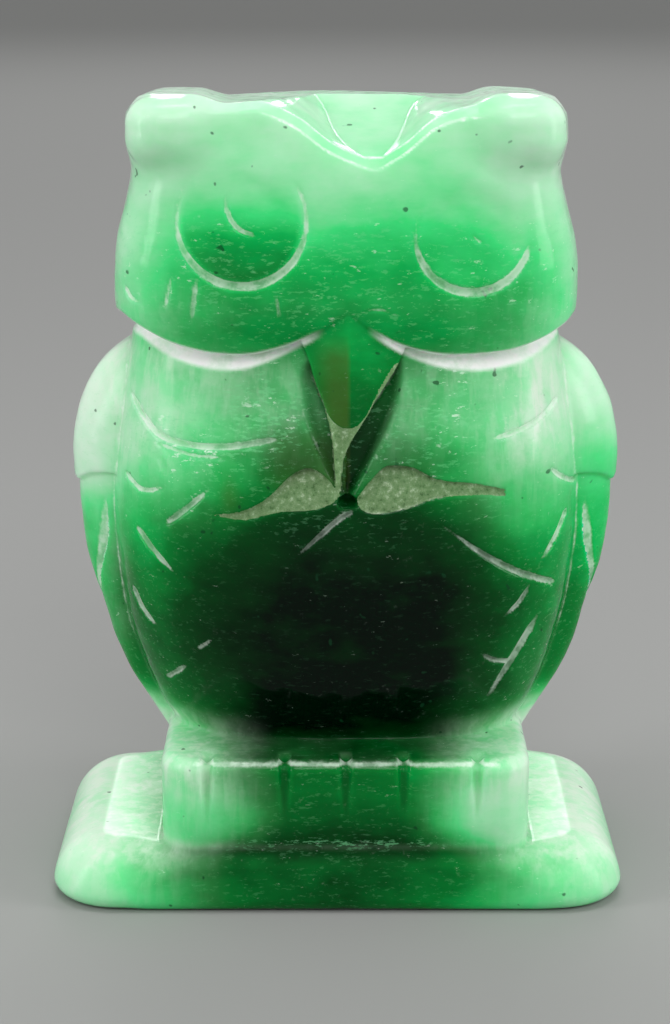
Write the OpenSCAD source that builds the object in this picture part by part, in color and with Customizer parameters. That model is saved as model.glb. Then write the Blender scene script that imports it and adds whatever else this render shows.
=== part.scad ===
// Perched owl, carved from one block of green stone.
// The nodes are the carved regions of that one block. They meet face to face and nothing moves.
// The owl faces -Y, so its own left side is at +X. Units are millimetres and the table is z = 0.

/* [Overall] */
// Height from the table to the ear tips
total_h = 50; // [49:0.5:52]
// How far the body stands to the right of the plinth's middle
body_shift = 0.5; // [0:0.1:1]

/* [Plinth] */
// Length of the flat plinth
plinth_w = 36; // [34:0.5:40]
// Depth of the plinth, front to back
plinth_d = 20.8; // [20:0.2:22]
// Height of the plinth
plinth_h = 4; // [3.4:0.1:4.6]
// Radius of the plinth's corners, seen from above
plinth_corner_r = 4.2; // [4:0.2:7]
// Rounding of the plinth's edges
plinth_edge_r = 1.5; // [0.8:0.1:1.7]

/* [Feet] */
// Width of both feet together
feet_w = 22.4; // [20:0.2:24]
// Height of the ledge on top of the toes
ledge_z = 10; // [9.4:0.1:10.6]
// How far the toes stand forward of the plinth's middle
toe_front = 10.5; // [10.1:0.1:10.9]
// Depth of the toes, from their front to the pedestal
toe_d = 5; // [4:0.2:6]
// Width of the grooves between the toes
toe_groove_w = 1.1; // [0.6:0.1:1.6]

/* [Body] */
// Half width of the body at its widest
belly_half_w = 14.7; // [13.8:0.1:15.6]
// Half width over the folded wings
wing_half_w = 17.2; // [16.5:0.1:17.5]
// Height of the cut between the body and the head
neck_z = 34.6; // [34:0.2:35.2]

/* [Head] */
// Half width of the head across the cheeks
head_half_w = 14.2; // [13.8:0.1:15]
// How far the face stands forward
face_front = 9.2; // [8.8:0.1:9.8]
// Height of the point of the brow
brow_z = 45.8; // [44:0.2:47]
// Place of the brow's point, across the head
brow_x = 1.7; // [0:0.1:2]
// Radius of the engraved right eye
eye_r = 3.8; // [3:0.1:4.2]
// Width of the engraved line round each eye
eye_line = 0.5; // [0.3:0.05:0.7]

/* [Engraving] */
// Width of the cuts that mark the feathers
cut_w = 0.45; // [0.3:0.05:0.7]
// Depth of the cuts that mark the feathers and the eyes
cut_depth = 0.35; // [0.2:0.05:0.5]
// How far the cheeks stand out over the chest
cheek_step = 0.6; // [0.3:0.1:0.8]

/* [Hidden] */
stone = [0.10, 0.52, 0.27];
pale_stone = [0.55, 0.85, 0.68];
sides = [-1, 1];
ring_n = 48;
hull_fn = 24;
back_y = plinth_d / 2;
toe_r = 1.4;
ear_r = 2;
toe_grooves_x = [-8.5, -3.7, 0, 3.6, 8.1];

// Rings of the torso: height, half width, depth to the front, depth to the back, squareness
torso_rings = [
    [ledge_z, 11.1, 6.3, 7.6, 2.6],
    [11.5, 11.9, 7.1, 7.9, 2.5],
    [14, 12.9, 8.2, 8.3, 2.4],
    [17, 13.8, 9.1, 8.6, 2.4],
    [21, 14.5, 9.8, 8.9, 2.4],
    [25, belly_half_w, 9.9, 9.0, 2.4],
    [29, 14.4, 9.5, 8.9, 2.5],
    [32, 13.9, 8.8, 8.6, 2.6],
    [neck_z, 13.3, 8.2, 8.2, 2.8]];

// The same for the head, from the neck up to the crown
head_rings = [
    [neck_z, 13.4, 8.2, 8.0, 3.2],
    [35.6, 14.0, 8.8, 8.3, 3.4],
    [38, head_half_w, face_front, 8.5, 3.6],
    [41, 14.0, face_front, 8.5, 3.8],
    [43.5, 13.3, 9.0, 8.4, 4.0],
    [45.5, 13.0, 8.7, 8.3, 4.2],
    [47.5, 13.1, 8.3, 8.1, 4.2],
    [48.7, 12.7, 7.7, 7.6, 4.0],
    [total_h - 0.6, 11.8, 6.7, 6.7, 3.6]];

// The same for the solid that the two folded wings are cut from
wing_rings = [
    [9, 11.2, 2.0, 8.6, 2.4],
    [10, 12.2, 2.4, 9.2, 2.4],
    [12.5, 13.7, 3.2, 9.7, 2.3],
    [15, 14.9, 3.8, 10.0, 2.3],
    [17.5, 15.8, 4.2, 10.2, 2.3],
    [20, 16.6, 4.6, 10.3, 2.3],
    [22.5, 17.0, 4.9, 10.4, 2.3],
    [25.5, wing_half_w, 5.2, 10.4, 2.3],
    [28.5, 17.1, 5.4, 10.3, 2.3],
    [31, 16.4, 5.3, 10.0, 2.3],
    [33, 15.1, 4.9, 9.5, 2.3],
    [34.4, 13.6, 4.4, 8.8, 2.3]];

// Cuts across the chest and belly: points across and up, from the body's middle
breast_cuts = [
    [[-13.1, 31.6], [-12.2, 30.5], [-10.8, 29.4], [-7.6, 29.5], [-3.6, 30]],
    [[8.3, 29.6], [10.3, 30], [12, 30.7]],
    [[-7.5, 25], [-5.4, 26.6], [-2.7, 28], [-0.6, 26.9]],
    [[0.8, 25.7], [2.9, 28.3], [5.6, 27.5], [9.2, 26.8]],
    [[0, 25.6], [-3.4, 22.4]],
    [[5.1, 25.2], [13.2, 19.8]],
    [[-8, 26.9], [-11, 24.2]],
    [[-12.9, 23.8], [-10.2, 21]],
    [[-13.3, 19.6], [-11.5, 17.1]],
    [[-9.8, 15], [-11.3, 13.5]],
    [[13.7, 24.6], [11.8, 21.5]],
    [[11.4, 20.4], [9.5, 18.2]],
    [[8.2, 16.1], [10.4, 15]],
    [[12, 18], [8.6, 12.3]]];

// Cuts on each folded wing: points towards the back and up
wing_cuts = [
    [[-5, 27.6], [-2.6, 26.3], [-0.6, 27.4], [1.8, 26], [4, 27.2], [6.4, 26.2], [9, 27.8]],
    [[-2, 25.4], [-0.6, 20.5], [2.2, 15.6], [4.6, 12.4]],
    [[1.8, 25], [3.4, 20], [5.6, 15.6], [7.4, 12.8]]];

// The lower edge of the cheeks
cheek_edge = [[16, 36.6], [13.3, 36.3], [10.4, 35], [6.8, 34.7], [3.4, 35.1], [-0.2, 36.9],
              [-2.9, 35.5], [-6.5, 34.8], [-10.4, 35.3], [-12.9, 36.1], [-16, 36.8]];

function signed_power(v, p) = sign(v) * pow(abs(v), p);

// One ring round the body: squareness 2 is an ellipse and 4 is nearly a rounded box
function ring(r) = [for (i = [0 : ring_n - 1])
    let (a = 360 * i / ring_n, s = signed_power(sin(a), 2 / r[4]))
    [body_shift + r[1] * signed_power(cos(a), 2 / r[4]), s * (s < 0 ? r[2] : r[3]), r[0]]];

// The same stack of rings, pushed in towards the middle
function inset(rings, depth) = [for (r = rings) [r[0], r[1] - depth, r[2] - depth, r[3] - depth, r[4]]];

// A closed solid through a stack of rings
module loft(rings) {
    count = len(rings);
    walls = [for (k = [0 : count - 2], i = [0 : ring_n - 1])
        let (j = (i + 1) % ring_n, a = k * ring_n, b = a + ring_n)
        each [[a + i, b + i, b + j], [a + i, b + j, a + j]]];
    floor_face = [for (i = [0 : ring_n - 1]) i];
    roof_face = [for (i = [ring_n - 1 : -1 : 0]) (count - 1) * ring_n + i];
    polyhedron([for (r = rings) each ring(r)], concat(walls, [floor_face, roof_face]));
}

// A box with every edge and corner rounded
module pebble(low, high, r) {
    hull()
        for (x = [low[0] + r, high[0] - r], y = [low[1] + r, high[1] - r], z = [low[2] + r, high[2] - r])
            translate([x, y, z]) sphere(r, $fn = hull_fn);
}

// A bent line of even width, drawn flat
module flat_line(points, w) {
    for (i = [1 : len(points) - 1])
        hull()
            for (p = [points[i - 1], points[i]])
                translate(p) circle(d = w, $fn = 8);
}

// Pushes a flat drawing through the front half of the owl
module to_front() { translate([body_shift, 0, 0]) rotate([90, 0, 0]) linear_extrude(20) children(); }

// Pushes a flat drawing through the right or the left half of the owl
module to_side(side) {
    translate([body_shift, 0, 0]) scale([side, 1, 1]) rotate([90, 0, 90]) linear_extrude(20) children();
}

// Limits a cut to a thin skin of a stack of rings
module skin_deep(rings, depth) {
    difference() {
        children();
        loft(inset(rings, depth));
    }
}

// Keeps a carved solid as one surface of flat facets, at its own size
module carved() { resize([0, 0, 0]) children(); }

// Everything on one side of the body's middle
module half(side) {
    reach = 2 * total_h;
    translate([body_shift + (side < 0 ? -reach : 0), -reach / 2, -reach / 2]) cube(reach);
}

module slab_solid() {
    inset = plinth_corner_r;
    rim = plinth_corner_r - plinth_edge_r;
    hull()
        for (x = [-1, 1] * (plinth_w / 2 - inset), y = [-1, 1] * (plinth_d / 2 - inset),
             z = [plinth_edge_r * 0.4, plinth_h - plinth_edge_r])
            translate([x, y, z])
                rotate_extrude($fn = 32) translate([rim, 0]) circle(plinth_edge_r, $fn = 16);
}

// The block that the owl stands on: toes in front, pedestal behind
module block_solid() {
    difference() {
        pebble([body_shift - feet_w / 2, -toe_front, plinth_h - 3],
               [body_shift + feet_w / 2, back_y - 1.4, ledge_z + toe_r], toe_r);
        translate([-plinth_w, -plinth_w, ledge_z]) cube(2 * plinth_w);
        translate([-plinth_w, -plinth_w, plinth_h - 2 * plinth_w]) cube(2 * plinth_w);
    }
}

module toe_room() {
    translate([-plinth_w, toe_d - toe_front - 2 * plinth_w, -plinth_w]) cube(2 * plinth_w);
}

module toe_grooves() {
    for (x = toe_grooves_x)
        translate([body_shift + x, -toe_front - 0.2, plinth_h + 2])
            cylinder(h = ledge_z, d = toe_groove_w, $fn = 20);
}

module torso_solid() { loft(torso_rings); }

module head_solid() { loft(head_rings); }

// The sloping hollow between the ears, cut down to a point over the beak
module brow_hollow() {
    reach = 9.4;
    rise = 3.9;
    back_rise = 1.9;
    front = -face_front - 1;
    back = 8.6;
    x = body_shift + brow_x;
    hull()
        for (p = [[x - reach, front, brow_z + rise], [x + reach - 1, front, brow_z + rise],
                  [x, front, brow_z - 0.2], [x - reach, back, brow_z + rise + back_rise],
                  [x + reach - 1, back, brow_z + rise + back_rise], [x, back, brow_z + 3.4]])
            translate(p) cylinder(h = 6, d = 0.2, $fn = 16);
}

// The engraved rings of the two eyes, a large and a small one each
module eye_rings() {
    to_front()
        for (eye = [[-6.1, 42.8, eye_r], [7.4, 42.1, eye_r - 0.4]])
            for (r = [eye[2], eye[2] * 0.42])
                translate([eye[0], eye[1]])
                    difference() {
                        circle(r + eye_line / 2, $fn = 48);
                        circle(r - eye_line / 2, $fn = 48);
                    }
}

module head_region() {
    difference() {
        head_solid();
        brow_hollow();
        skin_deep(head_rings, cut_depth) eye_rings();
        skin_deep(head_rings, cheek_step)
            to_front() polygon(concat([[-16, neck_z - 1], [16, neck_z - 1]], cheek_edge));
        for (s = sides)
            ear_solid(s);
    }
}

module ear_solid(side) {
    outer = body_shift + side * 13.4;
    inner = body_shift + side * 7.2;
    pebble([min(outer, inner), -8.6, 45.6], [max(outer, inner), 7.6, total_h], ear_r);
}

module beak_solid() {
    hull() {
        translate([body_shift, -8.1, 36.4]) sphere(0.8, $fn = hull_fn);
        for (s = sides)
            translate([body_shift + s * 2.6, -8.0, 34.2]) sphere(0.8, $fn = hull_fn);
        translate([body_shift, -9.7, 31]) sphere(0.8, $fn = hull_fn);
        translate([body_shift, -9.8, 26.9]) sphere(0.5, $fn = hull_fn);
    }
}

module tail_solid() {
    pebble([body_shift - 4.4, 4, plinth_h - 1.6], [body_shift + 4.4, back_y + 0.1, 17], 1.6);
}

// The regions. Each is cut back by those it lies against, so that they meet face to face.
module plinth() {
    color(pale_stone)
        carved()
            intersection() {
                slab_solid();
                translate([-plinth_w, -plinth_w, 0]) cube(2 * plinth_w);
            }
}

module pedestal() {
    color(stone)
        carved()
            difference() {
                block_solid();
                toe_room();
                tail_solid();
            }
}

module foot(side) {
    color(stone)
        carved()
            difference() {
                intersection() {
                    block_solid();
                    toe_room();
                    half(side);
                }
                toe_grooves();
            }
}

module left_foot() { foot(1); }

module right_foot() { foot(-1); }

module torso() {
    color(stone)
        carved()
            difference() {
                torso_solid();
                tail_solid();
                skin_deep(torso_rings, cut_depth)
                    to_front()
                        for (line = breast_cuts)
                            flat_line(line, cut_w);
            }
}

module wing(side) {
    color(pale_stone)
        carved()
            difference() {
                intersection() {
                    loft(wing_rings);
                    half(side);
                }
                torso_solid();
                block_solid();
                tail_solid();
                skin_deep(wing_rings, cut_depth)
                    to_side(side)
                        for (line = wing_cuts)
                            flat_line(line, cut_w);
            }
}

module left_wing() { wing(1); }

module right_wing() { wing(-1); }

module tail() {
    color(stone)
        carved()
            difference() {
                tail_solid();
                slab_solid();
            }
}

module head() {
    color(pale_stone) carved() head_region();
}

module ear(side) {
    color(pale_stone)
        carved()
            difference() {
                ear_solid(side);
                brow_hollow();
            }
}

module left_ear() { ear(1); }

module right_ear() { ear(-1); }

module beak() {
    color(stone)
        carved()
            difference() {
                beak_solid();
                torso_solid();
                head_region();
            }
}

plinth();
pedestal();
left_foot();
right_foot();
torso();
left_wing();
right_wing();
tail();
head();
left_ear();
right_ear();
beak();
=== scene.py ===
"""A perched owl carved from one block of polished, translucent green stone.

The stone is sculpted as one closed surface: rough forms are turned and joined, then cuts are carved
into them, and the surface is drawn round what is left. The owl faces -Y and its own left is +X.
Lengths in the carving are millimetres, as a carver measures, and the finished mesh is in metres.
"""
import math

import bpy
import numpy as np
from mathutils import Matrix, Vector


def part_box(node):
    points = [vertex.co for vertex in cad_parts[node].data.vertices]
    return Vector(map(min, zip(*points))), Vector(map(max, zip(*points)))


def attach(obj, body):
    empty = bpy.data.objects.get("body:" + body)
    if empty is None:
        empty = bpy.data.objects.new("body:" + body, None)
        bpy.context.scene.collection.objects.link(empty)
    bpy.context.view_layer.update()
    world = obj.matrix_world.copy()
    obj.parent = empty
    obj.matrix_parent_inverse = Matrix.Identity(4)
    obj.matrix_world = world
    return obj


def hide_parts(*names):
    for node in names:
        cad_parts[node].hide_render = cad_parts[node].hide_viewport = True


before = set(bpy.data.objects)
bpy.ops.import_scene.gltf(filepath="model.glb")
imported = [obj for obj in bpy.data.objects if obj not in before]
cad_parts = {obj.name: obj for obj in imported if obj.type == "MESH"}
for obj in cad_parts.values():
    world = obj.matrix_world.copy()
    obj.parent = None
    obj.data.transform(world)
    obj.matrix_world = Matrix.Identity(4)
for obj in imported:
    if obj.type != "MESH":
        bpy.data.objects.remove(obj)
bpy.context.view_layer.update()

import openvdb
from mathutils import Vector

MM = 0.001
GRAIN = 0.15     # spacing of the grid that the surface is drawn from
PER_BLOCK = 4                           # grid points along each side of a small block
FAR = 1.5                               # the field is cut off this far from the surface


# ---- Sizes, read from the frame -------------------------------------------------------------

def box_mm(*nodes):
    """The lowest and highest corners of the box round some nodes, in millimetres."""
    boxes = [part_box(node) for node in nodes]
    low = np.min([box[0] for box in boxes], axis=0) / MM
    high = np.max([box[1] for box in boxes], axis=0) / MM
    return low, high


PLINTH_LOW, PLINTH_HIGH = box_mm("plinth")
FEET_LOW, FEET_HIGH = box_mm("left_foot", "right_foot")
TORSO_LOW, TORSO_HIGH = box_mm("torso")
WINGS_LOW, WINGS_HIGH = box_mm("left_wing", "right_wing")
HEAD_LOW, HEAD_HIGH = box_mm("head")
EARS_LOW, EARS_HIGH = box_mm("left_ear", "right_ear")
TAIL_LOW, TAIL_HIGH = box_mm("tail")

BODY_X = (TORSO_LOW[0] + TORSO_HIGH[0]) / 2
PLINTH_Z = PLINTH_HIGH[2]
LEDGE_Z = FEET_HIGH[2]
NECK_Z = TORSO_HIGH[2]
TOP_Z = EARS_HIGH[2]
FACE_Y = HEAD_LOW[1]
FEET_FRONT_Y = FEET_LOW[1]
PEDESTAL_BACK_Y = box_mm("pedestal")[1][1]


# ---- Tools for carving ----------------------------------------------------------------------

def ease(value, start, end):
    """0 before start, 1 after end, and a smooth rise between them."""
    t = np.clip((value - start) / (end - start), 0, 1)
    return t * t * (3 - 2 * t)


def fair(at, *points):
    """Height of a fair curve through (place, height) points, flat past its ends and at each peak."""
    knots, heights = np.array(points, float).T
    slope = np.diff(heights) / np.diff(knots)
    same_way = slope[:-1] * slope[1:] > 0
    lean = np.concatenate([slope[:1], np.where(same_way, (slope[:-1] + slope[1:]) / 2, 0), slope[-1:]])
    place = np.linspace(knots[0], knots[-1], 400)
    span = np.clip(np.searchsorted(knots, place, side="right") - 1, 0, len(knots) - 2)
    gap = knots[span + 1] - knots[span]
    t = (place - knots[span]) / gap
    height = ((2 * t**3 - 3 * t**2 + 1) * heights[span] + (t**3 - 2 * t**2 + t) * gap * lean[span]
              + (3 * t**2 - 2 * t**3) * heights[span + 1] + (t**3 - t**2) * gap * lean[span + 1])
    return np.interp(at, place, height).astype(np.float32)


def join(a, b, fillet):
    """Two forms as one, with a fillet where they meet."""
    near = np.maximum(fillet - np.abs(a - b), 0)
    return np.minimum(a, b) - near * near / (4 * fillet)


def trim(a, b, rounding):
    """What two forms share, with the edge between them rounded."""
    near = np.maximum(rounding - np.abs(a - b), 0)
    return np.maximum(a, b) + near * near / (4 * rounding)


def bevel(a, b, width):
    """What two forms share, with a flat bevel along the edge between them."""
    return np.maximum(np.maximum(a, b), (a + b + width) * math.sqrt(0.5))


def block(x, y, z, low, high, corner, edge):
    """An upright block: corner is its rounding seen from above and edge that of its top and bottom."""
    out_x, out_y, tall = (np.abs(at - (start + end) / 2) - (end - start) / 2
                          for at, start, end in zip((x, y, z), low, high))
    side = np.hypot(np.maximum(out_x + corner, 0), np.maximum(out_y + corner, 0))
    side = np.where(side > 0, side - corner, np.maximum(out_x, out_y))
    out = np.hypot(np.maximum(side + edge, 0), np.maximum(tall + edge, 0))
    return np.where(out > 0, out - edge, np.maximum(side, tall))


def turned(x, y, z, low, high, rings):
    """A form swept up through rings. Each ring is the share of the height, of the half width, of the
    front and back depth, and the squareness: 2 is an ellipse and 4 is nearly a rounded box."""
    rings = np.array(rings)
    height = low[2] + rings[:, 0] * (high[2] - low[2])
    half = fair(z, *zip(height, rings[:, 1] * (high[0] - low[0]) / 2))
    front = fair(z, *zip(height, rings[:, 2] * -low[1]))
    back = fair(z, *zip(height, rings[:, 3] * high[1]))
    power = fair(z, *zip(height, rings[:, 4]))
    depth = np.where(y < 0, front, back)
    across = np.abs(x) / half + 1e-4
    along = np.abs(y) / depth + 1e-4
    reach = (across**power + along**power) ** (1 / power)
    steep = reach ** (1 - power) * np.hypot(across ** (power - 1) / half, along ** (power - 1) / depth)
    return (reach - 1) / np.maximum(steep, 0.02)


def to_curve(u, v, points):
    """Distance to a fair curve through points on a flat drawing, and how far along it, 0 to 1."""
    fine = 6
    points = np.array(points, float)
    ends = np.vstack([2 * points[0] - points[1], points, 2 * points[-1] - points[-2]])
    t = np.linspace(0, 1, fine, endpoint=False)[:, None]
    path = [0.5 * (2 * b + (c - a) * t + (2 * a - 5 * b + 4 * c - d) * t**2
                   + (3 * b - a - 3 * c + d) * t**3)
            for a, b, c, d in zip(ends, ends[1:], ends[2:], ends[3:])]
    path = np.vstack(path + [points[-1:]])
    length = np.concatenate([[0], np.cumsum(np.hypot(*np.diff(path, axis=0).T))])
    best = np.full(u.shape, 1e9, np.float32)
    along = np.zeros(u.shape, np.float32)
    for p, q, start, end in zip(path, path[1:], length, length[1:]):
        way = q - p
        s = np.clip(((u - p[0]) * way[0] + (v - p[1]) * way[1]) / (way @ way), 0, 1)
        gap = np.hypot(u - p[0] - s * way[0], v - p[1] - s * way[1])
        nearer = gap < best
        best = np.where(nearer, gap, best)
        along = np.where(nearer, (start + s * (end - start)) / length[-1], along)
    return best, along


def to_arc(u, v, centre, radius, start, end):
    """The same for an arc, from the start to the end angle in degrees, anticlockwise. The radius is a
    pair, from one end to the other."""
    angle = np.degrees(np.arctan2(v - centre[1], u - centre[0]))
    along = np.mod(angle - start, 360) / (end - start)
    first, last = radius
    beyond = np.where(along > 1, 9, 0)
    along = np.clip(along, 0, 1)
    gap = np.abs(np.hypot(u - centre[0], v - centre[1]) - (first + (last - first) * along))
    return gap + beyond, along


def plane(x, y, z, p, q, r):
    """Signed distance to the plane through three points, positive on the side that faces -Y."""
    p, q, r = (np.array(point, float) for point in (p, q, r))
    normal = np.cross(q - p, r - p)
    normal *= -np.sign(normal[1]) / np.linalg.norm(normal)
    return (x - p[0]) * normal[0] + (y - p[1]) * normal[1] + (z - p[2]) * normal[2]


# ---- The rough forms: x here is measured from the middle of the body -------------------------

TORSO_RINGS = [
    (-0.10, 0.72, 0.61, 0.82, 2.6), (0.00, 0.755, 0.64, 0.84, 2.6), (0.06, 0.81, 0.72, 0.88, 2.5),
    (0.16, 0.88, 0.83, 0.92, 2.4), (0.28, 0.94, 0.92, 0.96, 2.4), (0.45, 0.985, 0.99, 0.99, 2.4),
    (0.61, 1.00, 1.00, 1.00, 2.4), (0.77, 0.98, 0.96, 0.99, 2.5), (0.89, 0.945, 0.89, 0.955, 2.6),
    (1.00, 0.905, 0.83, 0.91, 2.8), (1.20, 0.84, 0.78, 0.86, 2.8)]
HEAD_RINGS = [
    (-0.10, 0.93, 0.90, 0.93, 3.2), (0.00, 0.965, 0.93, 0.95, 3.3), (0.10, 0.99, 0.97, 0.98, 3.5),
    (0.23, 1.00, 1.00, 1.00, 3.6), (0.43, 0.985, 1.00, 1.00, 3.8), (0.60, 0.94, 0.98, 0.99, 4.0),
    (0.74, 0.915, 0.95, 0.975, 4.2), (0.87, 0.92, 0.91, 0.95, 4.2), (1.04, 0.90, 0.87, 0.92, 4.0)]
WING_RINGS = [
    (-0.05, 0.63, 0.30, 0.80, 2.4), (0.04, 0.71, 0.46, 0.88, 2.4), (0.14, 0.80, 0.61, 0.93, 2.3),
    (0.24, 0.87, 0.73, 0.96, 2.3), (0.34, 0.92, 0.81, 0.98, 2.3), (0.43, 0.965, 0.88, 0.99, 2.3),
    (0.53, 0.99, 0.94, 1.00, 2.3), (0.65, 1.00, 1.00, 1.00, 2.3), (0.77, 0.995, 1.03, 0.99, 2.3),
    (0.87, 0.955, 1.02, 0.96, 2.3), (0.95, 0.88, 0.94, 0.91, 2.3), (1.01, 0.77, 0.82, 0.84, 2.3)]
PLINTH_CORNER = 4.2         # rounding of the plinth, seen from above
WING_FRONT_Y = -5.2         # how far forward the wings reach
COVERTS_Z = 25.5            # lower edge of the wings' short feathers
NAPE_Z = 36.2               # lower edge of the head at the back
EAR_X = (7.6, 12.95)        # inner and outer side of an ear
BROW_X = 1.7                # the point of the brow's V
BROW_Z = TOP_Z - 3.75
BROW_BEVEL = 0.46
CROWN_Z = TOP_Z - 0.1


def plinth(x, y, z):
    """The flat slab at the bottom, with pillowy edges that are rounder towards its ends."""
    low = PLINTH_LOW - (BODY_X, 0, 2.2)
    high = PLINTH_HIGH - (BODY_X, 0, 0)
    edge = 1.1 + 2.3 * ease(np.abs(x), 9, 14.5)
    return trim(block(x, y, z, low, high, PLINTH_CORNER, edge), -z, 1.1)


def feet(x, y, z):
    """The block that the toes are cut in, tucked under at its foot, with its pedestal behind."""
    spare = 0.2
    low = np.array([FEET_LOW[0] - BODY_X - spare, FEET_FRONT_Y, PLINTH_Z - 3])
    high = np.array([FEET_HIGH[0] - BODY_X + spare, PEDESTAL_BACK_Y, LEDGE_Z])
    tuck = 0.4 * (1 - ease(z, PLINTH_Z - 0.4, PLINTH_Z + 2.2))
    return block(x, y - tuck * (y < 0), z, low, high, corner=2.4, edge=0.8)


def torso(x, y, z):
    """The barrel shaped body, carried on a little into the head and the pedestal."""
    form = turned(x, y, z, TORSO_LOW, TORSO_HIGH, TORSO_RINGS)
    return np.maximum(form, np.abs(z - (LEDGE_Z + NECK_Z) / 2) - (NECK_Z - LEDGE_Z) / 2 - 3)


def wings(x, y, z):
    """The two folded wings. The coverts stand a little proud of the long feathers below them."""
    low = WINGS_LOW - (BODY_X, 0, 0)
    high = WINGS_HIGH - (BODY_X, 0, 0)
    low[1] = WING_FRONT_Y
    form = turned(x, y, z, low, high, WING_RINGS)
    scallop = COVERTS_Z + 0.55 * np.abs(np.sin((y + 1.2) * 0.95)) + 0.5 * ease(-y, 0, 5)
    step = 0.32 * ease(scallop - z, -0.06, 0.10) * ease(z, 12, 19)
    form = trim(form + step, z - NECK_Z - 0.1, 1.2)
    return np.maximum(form, PLINTH_LOW[2] + 1.5 - z)


def tail(x, y, z):
    """A narrow fan of tail feathers down the back, on to the plinth."""
    low = np.array([-1, TAIL_LOW[1], PLINTH_Z - 2])
    high = np.array([1, TAIL_HIGH[1], TAIL_HIGH[2] + 1])
    half = fair(z, (3, 4.6), (8, 4.3), (14, 3.2), (19, 2.2))
    return block(x / half, y, z, low, high, corner=0.45, edge=0.9) * 0.9


def cheek_edge(x, y):
    """Height of the lower edge of the head: two scallops in front, and level round the back."""
    front = fair(x, (-14, 37.0), (-12.9, 36.5), (-10.4, 35.4), (-6.5, 34.8), (-3.6, 35.4), (-1.4, 36.4),
                 (0.1, 37.2), (1.2, 36.6), (3.4, 35.4), (6.8, 34.8), (10.4, 35.1), (13.3, 36.3), (14, 36.8))
    return front + (NAPE_Z - front) * ease(y, -6, 0)


def brow_top(x, y):
    """Height of the top of the head: the brow's two arms, and a flat scooped up from its point."""
    back = y - FACE_Y
    away = x - BROW_X
    spread = np.abs(away) * (1 + 0.07 * np.clip(back, 0, 14))
    left = fair(spread, (0, BROW_Z), (2.9, 47.4), (4.9, 48.7), (7, 49.55), (8.8, 49.85), (12.5, 49.9),
                (20, 49.9))
    right = fair(spread, (0, BROW_Z), (2.0, 47.4), (3.7, 48.65), (5.4, 49.2), (7.4, 49.3), (9.8, 49.5),
                 (20, 49.6))
    arms = np.where(away < 0, left, right)
    scoop = BROW_Z + 0.05 + 0.30 * np.maximum(back - 0.4, 0)
    return np.minimum(np.maximum(arms, scoop), CROWN_Z - 0.012 * np.abs(x) ** 1.5 - 0.05 * back)


def head_form(x, y, z):
    """The head before its brow and cheeks are cut."""
    return turned(x, y, z, HEAD_LOW - (BODY_X, 0, 0), HEAD_HIGH - (BODY_X, 0, 0), HEAD_RINGS)


def over_brow(x, y, z):
    """Distance above the cut that makes the brow."""
    return (z - brow_top(x, y)) * 0.85


def head(x, y, z):
    """The head, with its brow, its two ears and its scalloped lower edge."""
    form = bevel(head_form(x, y, z), over_brow(x, y, z), BROW_BEVEL)
    low = np.array([EAR_X[0], FACE_Y + 0.5, EARS_LOW[2] + 0.3])
    high = np.array([EAR_X[1], EARS_HIGH[1] - 0.6, TOP_Z])
    for side in (-1, 1):
        ear = block(x * side, y, z + 0.05 * (y + 8), low, high, corner=2.2, edge=1.7)
        form = join(form, ear, 1.2)
    return trim(form, cheek_edge(x, y) - z, 0.35)


def beak_bed(x, y, z):
    """How deep the V shaped bed round the beak is cut."""
    left = fair(z, (26.6, -0.7), (28.5, -1.6), (30.8, -2.5), (33.6, -2.9), (35.0, -2.2), (37, -1.6))
    right = fair(z, (26.6, 0.6), (28.1, 1.4), (31.3, 3.0), (33.6, 3.5), (34.8, 3.4), (37, 1.6))
    inside = np.minimum(x - left, right - x)
    deep = 0.45 + 0.35 * (x > 0)
    return deep * ease(inside, 0, 0.75) * ease(z, 26.0, 27.0) * (1 - ease(z, 33.8, 35.6)) * (y < 0)


def beak(x, y, z):
    """A faceted wedge with a ridge down its front, cut off flat towards the tip."""
    ridge_top, ridge_foot = (0.1, FACE_Y + 0.02, 37.3), (0.25, FACE_Y - 0.85, 31.2)
    form = plane(x, y, z, ridge_top, ridge_foot, (-2.3, FACE_Y + 0.5, 34.4))
    form = trim(form, plane(x, y, z, ridge_top, ridge_foot, (2.9, FACE_Y + 0.5, 34.0)), 0.12)
    flat = plane(x, y, z, (-1.0, FACE_Y - 0.68, 30.9), (1.6, FACE_Y - 0.64, 31.6),
                 (-0.45, FACE_Y - 0.40, 26.9))
    form = trim(form, flat, 0.12)
    left = fair(z, (26.4, -0.55), (27.9, -0.62), (30.8, -0.95), (32.5, -1.6), (34.5, -2.2), (37, -3.3))
    right = fair(z, (26.4, -0.4), (28.9, -0.1), (31.7, 1.5), (34.0, 2.9), (37, 4.4))
    form = trim(form, np.maximum(left - x, x - right) * 0.9, 0.15)
    return np.maximum(np.maximum(form, np.abs(z - 32) - 5.3), y - FACE_Y * 0.45)


def leaf(x, z, lower, upper):
    """Place on a leaf shaped flat beside the beak: 0 off it and 1 on it, and the height above its foot."""
    foot, tip = fair(x, *lower), fair(x, *upper)
    start, end = lower[0][0], lower[-1][0]
    on = ease(z - foot, -0.05, 0.07) * ease(tip - z, -0.05, 0.07) * (x > start) * (x < end)
    return on, z - foot


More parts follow.
